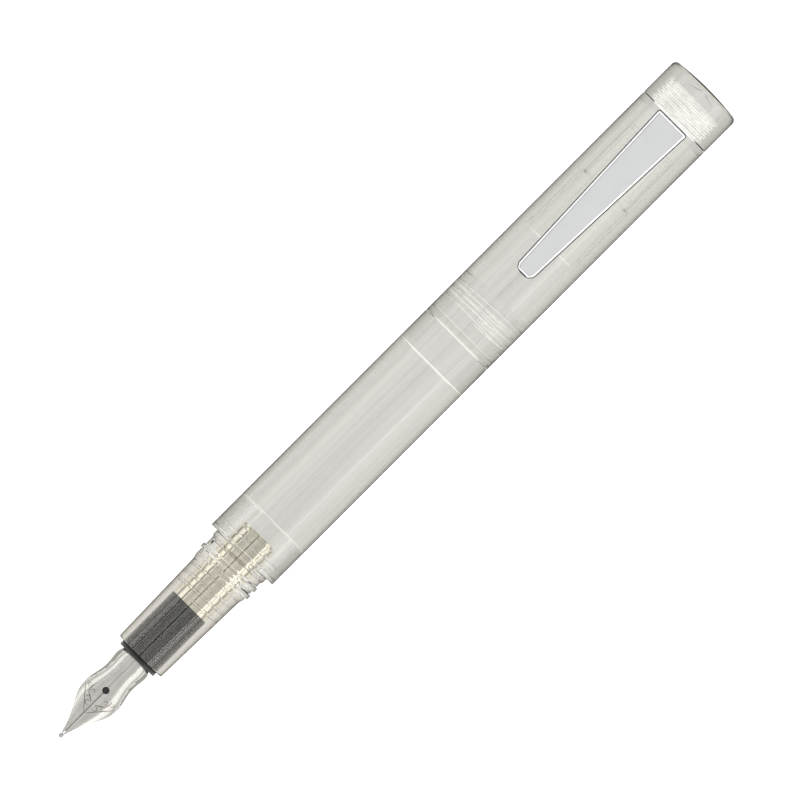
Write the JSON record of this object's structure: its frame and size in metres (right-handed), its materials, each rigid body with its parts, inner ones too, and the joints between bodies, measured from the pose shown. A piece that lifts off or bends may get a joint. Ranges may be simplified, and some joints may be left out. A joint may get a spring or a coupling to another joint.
{
  "type": "fountain pen",
  "caption": "Clear fountain pen with its cap screwed onto the back of the barrel, steel nib, black housing, metal thread sleeve and straight tapered chrome clip.",
  "frame": {"origin": "centre of the underside of the bounding box; the pen's axis runs along X at Z = 6.5 mm, and the lowest line of barrel and cap lies on Z = 0", "axes": "+X from the nib's tip towards the cap's finial; +Z from the axis towards the clip; +Y across the pen"},
  "size_m": [0.1394, 0.013, 0.0147],
  "materials": {
    "clear_acrylic": "polished, clear",
    "milky_plastic": "satin, translucent",
    "black_plastic": "satin black",
    "nib_steel": "polished",
    "tip_alloy": "polished",
    "plated_brass": "satin nickel plate",
    "clip_chrome": "polished",
    "clear_rubber": "smooth",
    "black_rubber": "smooth"
  },
  "bodies": {
    "barrel": {"barrel": "clear_acrylic", "posting_seal": "clear_rubber"},
    "section_ring": {"section_seal": "clear_rubber"},
    "section": {"section": "clear_acrylic"},
    "unit_ring": {"nib_unit_seal": "black_rubber"},
    "nib_unit": {"nib_housing": "black_plastic", "nib_sleeve": "plated_brass"},
    "nib": {"nib": "nib_steel", "nib_tipping": "tip_alloy", "feed": "black_plastic"},
    "inner_cap": {"inner_cap": "milky_plastic"},
    "cap": {"cap_tube": "clear_acrylic", "cap_finial": "clear_acrylic", "clip_foot": "clip_chrome"},
    "clip": {"clip": "clip_chrome"}
  },
  "joints": [
    {"name": "section_travel", "type": "slide", "parent": "barrel", "child": "section_ring", "axis": [-1, 0, 0], "range_m": [0, 0.0072]},
    {"name": "section_turn", "type": "hinge", "parent": "section_ring", "child": "section", "pos_m": [-0.0277, 0, 0.0065], "axis": [-1, 0, 0], "range_deg": [0, 2161]},
    {"name": "nib_unit_travel", "type": "slide", "parent": "section", "child": "unit_ring", "axis": [-1, 0, 0], "range_m": [0, 0.0143]},
    {"name": "nib_unit_turn", "type": "hinge", "parent": "unit_ring", "child": "nib_unit", "pos_m": [-0.0397, 0, 0.0065], "axis": [-1, 0, 0], "range_deg": [0, 3330]},
    {"name": "nib_pull", "type": "slide", "parent": "nib_unit", "child": "nib", "axis": [-1, 0, 0], "range_m": [0, 0.0076]},
    {"name": "cap_travel", "type": "slide", "parent": "barrel", "child": "inner_cap", "axis": [1, 0, 0], "range_m": [0, 0.0082]},
    {"name": "cap_turn", "type": "hinge", "parent": "inner_cap", "child": "cap", "pos_m": [0.0403, 0, 0.0065], "axis": [1, 0, 0], "range_deg": [0, 1980]},
    {"name": "clip_flex", "type": "hinge", "parent": "cap", "child": "clip", "pos_m": [0.06225, 0, 0.01306], "axis": [0, 1, 0], "range_deg": [0, 4], "stiffness_Nm_per_rad": 2, "springref_deg": -0.57}
  ],
  "couplings": [
    {"joint": "section_turn", "follows": "section_travel", "rad_per_m": 5236},
    {"joint": "nib_unit_turn", "follows": "nib_unit_travel", "rad_per_m": 4053.7},
    {"joint": "cap_turn", "follows": "cap_travel", "rad_per_m": 4188.8}
  ]
}
